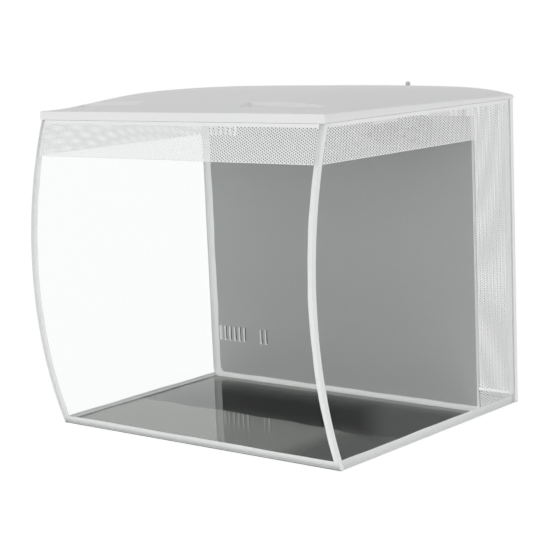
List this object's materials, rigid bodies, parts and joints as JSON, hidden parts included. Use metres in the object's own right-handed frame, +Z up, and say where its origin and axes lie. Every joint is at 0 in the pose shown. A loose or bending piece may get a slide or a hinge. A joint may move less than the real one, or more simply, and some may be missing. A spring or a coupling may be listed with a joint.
{
  "type": "bow-front aquarium",
  "caption": "Bow-front glass aquarium with a honeycomb-printed band, a domed white hood with a lamp, and a rear filter compartment behind a grey divider.",
  "frame": {"origin": "middle of the tank's width, on the table plane, with the rear pane 195 mm behind it", "axes": "+X to the viewer's right, -Y towards the bowed front pane, +Z up"},
  "size_m": [0.4116, 0.3875, 0.3859],
  "materials": {
    "clear_glass": "polished float glass",
    "floor_glass": "polished glass over a dark sheet",
    "dark_backing": "satin black sheet",
    "white_silicone": "satin white sealant",
    "honeycomb_film": "white honeycomb lattice print",
    "grey_panel": "fine moulded grey",
    "white_plastic": "satin moulded white",
    "black_plastic": "moulded black",
    "hose_vinyl": "smooth flexible vinyl",
    "ceramic_shaft": "ground ceramic",
    "rotor_magnet": "moulded magnet and blades",
    "black_rubber": "matt rubber",
    "receiver_lens": "dark translucent dome",
    "lamp_board": "white coated board",
    "lamp_lens": "clear ribbed lens",
    "steel_screw": "machined steel",
    "filter_foam": "open-cell foam",
    "carbon_media": "mesh pouch of granules",
    "ceramic_media": "mesh pouch of porous rings"
  },
  "bodies": {
    "tank": {"floor_backing": "dark_backing", "floor_glass": "floor_glass", "front_glass": "clear_glass", "left_glass": "clear_glass", "right_glass": "clear_glass", "rear_glass": "clear_glass", "left_front_seal": "white_silicone", "right_front_seal": "white_silicone", "left_rear_seal": "white_silicone", "right_rear_seal": "white_silicone", "floor_seal": "white_silicone", "front_film": "honeycomb_film", "left_film": "honeycomb_film", "right_film": "honeycomb_film", "rear_film": "honeycomb_film", "rear_divider": "grey_panel", "divider_foot_seal": "white_silicone", "divider_left_seal": "white_silicone", "divider_right_seal": "white_silicone", "left_chamber_wall": "grey_panel", "right_chamber_wall": "grey_panel", "pump_body": "black_plastic", "pump_cover": "black_plastic", "impeller_shaft": "ceramic_shaft", "suction_foot_1": "black_rubber", "suction_foot_2": "black_rubber", "suction_foot_3": "black_rubber", "suction_foot_4": "black_rubber", "outlet_hose": "hose_vinyl", "outlet_tee": "black_plastic", "left_outlet_socket": "grey_panel", "right_outlet_socket": "grey_panel", "left_outlet_nut": "black_plastic", "right_outlet_nut": "black_plastic", "pump_cable": "white_plastic"},
    "hood": {"hood_shell": "white_plastic", "signal_receiver": "receiver_lens", "lamp_housing": "white_plastic", "lamp_board": "lamp_board", "lamp_lens": "lamp_lens", "lamp_screw_1": "steel_screw", "lamp_screw_2": "steel_screw", "lamp_screw_3": "steel_screw", "lamp_screw_4": "steel_screw", "lamp_cable": "white_plastic"},
    "impeller": {"impeller": "rotor_magnet"},
    "left_swivel": {"left_outlet_ring": "grey_panel"},
    "left_spout": {"left_outlet_spout": "grey_panel"},
    "right_swivel": {"right_outlet_ring": "grey_panel"},
    "right_spout": {"right_outlet_spout": "grey_panel"},
    "foam_carrier": {"foam_carrier": "white_plastic", "foam_block": "filter_foam"},
    "media_basket": {"media_basket": "white_plastic", "carbon_pouch": "carbon_media", "ceramic_pouch": "ceramic_media"}
  },
  "joints": [
    {"name": "hood_lift", "type": "slide", "parent": "tank", "child": "hood", "axis": [0, 0, 1], "range_m": [0, 0.16]},
    {"name": "foam_lift", "type": "slide", "parent": "tank", "child": "foam_carrier", "axis": [0, 0, 1], "range_m": [0, 0.04]},
    {"name": "basket_lift", "type": "slide", "parent": "tank", "child": "media_basket", "axis": [0, 0, 1], "range_m": [0, 0.04]},
    {"name": "impeller_spin", "type": "hinge", "parent": "tank", "child": "impeller", "pos_m": [0.104, 0.153, 0.044], "axis": [1, 0, 0], "continuous": true},
    {"name": "left_outlet_turn", "type": "hinge", "parent": "tank", "child": "left_swivel", "pos_m": [0.086, 0.094, 0.326], "axis": [0, 1, 0], "continuous": true},
    {"name": "left_outlet_tilt", "type": "hinge", "parent": "left_swivel", "child": "left_spout", "pos_m": [0.086, 0.094, 0.326], "axis": [1, 0, 0], "range_deg": [-25, 25]},
    {"name": "right_outlet_turn", "type": "hinge", "parent": "tank", "child": "right_swivel", "pos_m": [0.134, 0.094, 0.326], "axis": [0, 1, 0], "continuous": true},
    {"name": "right_outlet_tilt", "type": "hinge", "parent": "right_swivel", "child": "right_spout", "pos_m": [0.134, 0.094, 0.326], "axis": [1, 0, 0], "range_deg": [-25, 25]}
  ]
}
